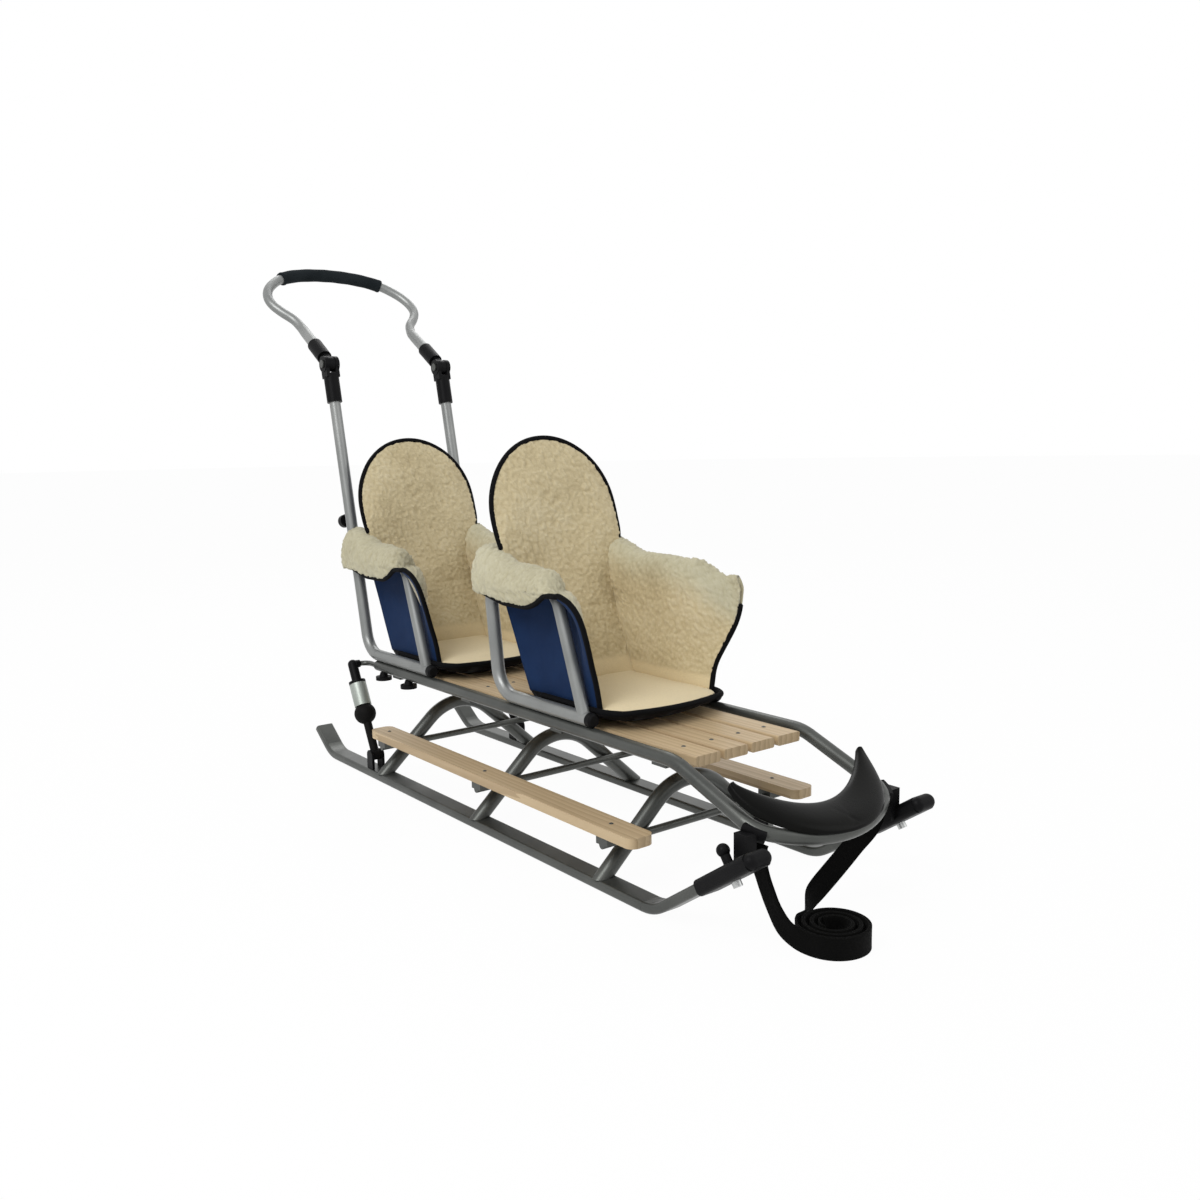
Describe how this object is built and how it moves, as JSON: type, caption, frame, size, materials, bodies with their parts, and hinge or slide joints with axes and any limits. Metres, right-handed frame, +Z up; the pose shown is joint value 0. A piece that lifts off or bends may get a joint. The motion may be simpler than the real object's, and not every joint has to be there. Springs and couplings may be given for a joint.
{
  "type": "sled",
  "caption": "Children's push sled with steel runners on arched frames, a sprung slatted deck, fleece bucket seats, footrests, a tilting push handle and a tow strap.",
  "frame": {"origin": "on the floor under the middle of the sled's box, without the tow strap", "axes": "+X to the front of the sled, +Y to its left, +Z up"},
  "size_m": [1.5757, 0.374, 1.0203],
  "materials": {
    "painted_steel": "satin silver-grey paint",
    "pine": "varnished",
    "black_plastic": "moulded",
    "zinc": "plated",
    "fleece": "pile",
    "vinyl": "glossy coated cloth",
    "foam": "foam sleeve",
    "rubber": "matt",
    "webbing": "woven"
  },
  "bodies": {
    "sled": {"runner_right": "painted_steel", "runner_left": "painted_steel", "arch_rear": "painted_steel", "arch_middle": "painted_steel", "arch_front": "painted_steel", "footrest_bar_rear": "painted_steel", "footrest_bar_middle": "painted_steel", "footrest_bar_front": "painted_steel", "footrest_right": "pine", "footrest_left": "pine", "deck_hoop": "painted_steel", "deck_bearers": "painted_steel", "slat_1": "pine", "slat_2": "pine", "slat_3": "pine", "slat_4": "pine", "bumper_pad": "vinyl", "front_sleeve_right": "black_plastic", "front_sleeve_left": "black_plastic", "sleeve_bolts": "zinc", "sleeve_knobs": "black_plastic", "seat_frame_front_right": "painted_steel", "seat_frame_front_left": "painted_steel", "seat_frame_rear_right": "painted_steel", "seat_frame_rear_left": "painted_steel", "frame_caps": "black_plastic", "rail_knobs": "black_plastic", "front_seat_back": "fleece", "front_seat_base": "fleece", "front_seat_wing_right": "fleece", "front_seat_wing_left": "fleece", "rear_seat_back": "fleece", "rear_seat_base": "fleece", "rear_seat_wing_right": "fleece", "rear_seat_wing_left": "fleece", "handle_upright_right": "painted_steel", "handle_upright_left": "painted_steel", "clamp_knobs": "black_plastic", "hinge_fork_right": "black_plastic", "hinge_fork_left": "black_plastic", "hinge_pins": "zinc", "strut_rods": "painted_steel", "strut_elbows": "black_plastic", "strut_housings": "zinc", "strut_boots": "rubber", "strut_forks": "painted_steel", "tow_strap_right": "webbing", "tow_strap_left": "webbing", "tow_strap_roll": "webbing"},
    "handle": {"hinge_tongue_right": "black_plastic", "hinge_tongue_left": "black_plastic", "handle_hoop": "painted_steel", "handle_grip": "foam"}
  },
  "joints": [
    {"name": "handle_tilt", "type": "hinge", "parent": "sled", "child": "handle", "pos_m": [-0.4894, 0, 0.8], "axis": [0, 1, 0], "range_deg": [-60, 60]}
  ]
}
